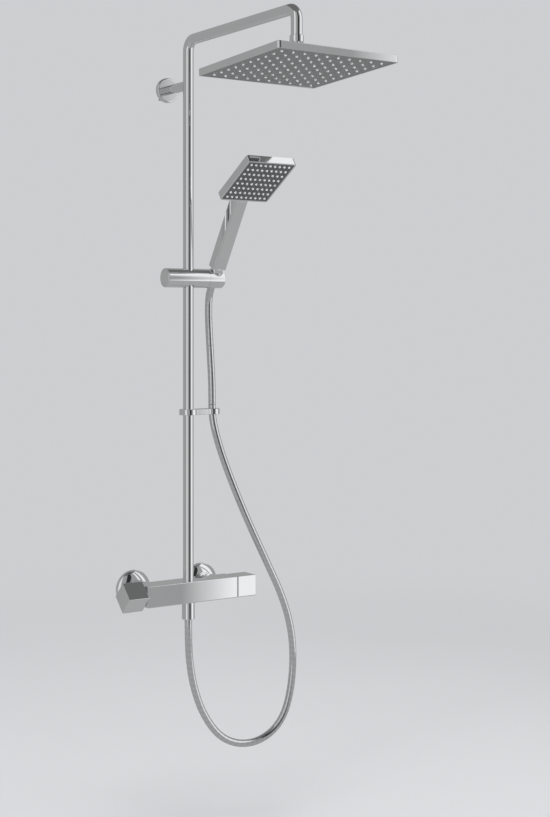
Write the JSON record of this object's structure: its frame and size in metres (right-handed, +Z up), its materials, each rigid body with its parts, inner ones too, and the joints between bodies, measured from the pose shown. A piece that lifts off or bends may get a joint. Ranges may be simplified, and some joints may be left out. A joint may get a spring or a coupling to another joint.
{
  "type": "mixer shower",
  "caption": "Thermostatic bar mixer on wall unions with a riser, bent overhead arm, square rain head on a ball joint, sliding holder, square hand shower, hose and hose guide.",
  "frame": {"origin": "on the finished wall, midway between the two water inlets and at their height", "axes": "+X along the wall to the right of a person facing it, +Y into the wall, +Z up"},
  "size_m": [0.3698, 0.5909, 1.3578],
  "materials": {
    "chrome": "polished chrome plating on brass or steel",
    "brass": "turned, bare, hidden inside",
    "steel": "zinc-plated or stainless fasteners and brackets",
    "black_rubber": "smooth sealing rubber",
    "cartridge_plastic": "glass-filled plastic, hidden inside",
    "nylon": "smooth bearing nylon",
    "plated_plastic": "chrome-plated plastic, mirror bright",
    "spray_plate": "dark grey satin face",
    "nozzle_silicone": "pale translucent silicone",
    "hose_cover": "smooth silver metallised cover"
  },
  "bodies": {
    "root": {"mixer_body": "chrome", "escutcheon_left": "chrome", "escutcheon_right": "chrome", "inlet_nut_left": "chrome", "inlet_nut_right": "chrome", "riser_tube": "chrome", "overhead_arm": "chrome", "wall_flange": "chrome", "bracket_stub": "chrome", "arm_collar": "chrome", "swivel_ball": "chrome", "hose_nut": "chrome", "eccentric_union_left": "brass", "eccentric_union_right": "brass", "inlet_nipple_left": "brass", "inlet_nipple_right": "brass", "cartridge_nuts": "brass", "tube_joiner": "brass", "hose_ferrule_lower": "brass", "bracket_base": "steel", "bracket_bolt": "steel", "wall_screws": "steel", "inlet_seals": "black_rubber", "cartridge_orings": "black_rubber", "joiner_orings": "black_rubber", "hose_washer_lower": "black_rubber", "thermostatic_cartridge": "cartridge_plastic", "diverter_cartridge": "cartridge_plastic", "check_valves": "cartridge_plastic", "stop_rings": "nylon", "hose_lower": "hose_cover", "hose_upper": "hose_cover"},
    "temperature_knob": {"temperature_handle": "chrome", "temperature_spindle": "brass", "temperature_grub_screw": "steel"},
    "flow_knob": {"flow_handle": "chrome", "flow_spindle": "brass", "flow_grub_screw": "steel"},
    "head_turner": {"ball_seat_upper": "nylon"},
    "head_rocker": {"ball_seat_lower": "nylon"},
    "rain_head": {"ball_nut": "chrome", "rain_head_shell": "chrome", "rain_filter": "steel", "rain_spray_plate": "spray_plate", "rain_nozzles": "nozzle_silicone"},
    "slide_sleeve": {"slider_liner": "nylon"},
    "slider": {"slider_body": "chrome", "slider_end_cap": "chrome", "holder_washer": "nylon", "pivot_screw": "steel"},
    "holder": {"holder_cone": "chrome"},
    "hose_end": {"hose_ferrule_upper": "brass"},
    "handset": {"handset_body": "plated_plastic", "handset_front_panel": "plated_plastic", "handset_spray_plate": "spray_plate", "handset_nozzles": "nozzle_silicone", "hose_cone_nut": "chrome", "hose_washer_upper": "black_rubber"},
    "guide": {"hose_guide": "chrome", "guide_liner": "nylon"}
  },
  "joints": [
    {"name": "temperature_turn", "type": "hinge", "parent": "root", "child": "temperature_knob", "pos_m": [-0.119, -0.082, 0], "axis": [1, 0, 0], "range_deg": [-150, 120]},
    {"name": "flow_turn", "type": "hinge", "parent": "root", "child": "flow_knob", "pos_m": [0.119, -0.082, 0], "axis": [1, 0, 0], "range_deg": [-90, 90]},
    {"name": "head_spin", "type": "hinge", "parent": "root", "child": "head_turner", "pos_m": [0, -0.437, 0.965], "axis": [0, 0, 1], "continuous": true},
    {"name": "head_side_tilt", "type": "hinge", "parent": "head_turner", "child": "head_rocker", "pos_m": [0, -0.437, 0.965], "axis": [0, 1, 0], "range_deg": [-10, 10]},
    {"name": "head_front_tilt", "type": "hinge", "parent": "head_rocker", "child": "rain_head", "pos_m": [0, -0.437, 0.965], "axis": [1, 0, 0], "range_deg": [-10, 14]},
    {"name": "slider_slide", "type": "slide", "parent": "root", "child": "slide_sleeve", "axis": [0, 0, 1], "range_m": [-0.06, 0.1], "deforming": ["hose_upper"]},
    {"name": "slider_swivel", "type": "hinge", "parent": "slide_sleeve", "child": "slider", "pos_m": [0, -0.082, 0.59], "axis": [0, 0, 1], "range_deg": [-30, 30]},
    {"name": "holder_tilt", "type": "hinge", "parent": "slider", "child": "holder", "pos_m": [0.056, -0.082, 0.59], "axis": [1, 0, 0], "range_deg": [-10, 25]},
    {"name": "handset_lift", "type": "slide", "parent": "holder", "child": "hose_end", "axis": [0, -0.524, 0.8517], "range_m": [0, 0.06]},
    {"name": "handset_turn", "type": "hinge", "parent": "hose_end", "child": "handset", "pos_m": [0.057, -0.082, 0.59], "axis": [0, -0.524, 0.8517], "continuous": true},
    {"name": "guide_slide", "type": "slide", "parent": "root", "child": "guide", "axis": [0, 0, 1], "range_m": [-0.005, 0.05]}
  ]
}
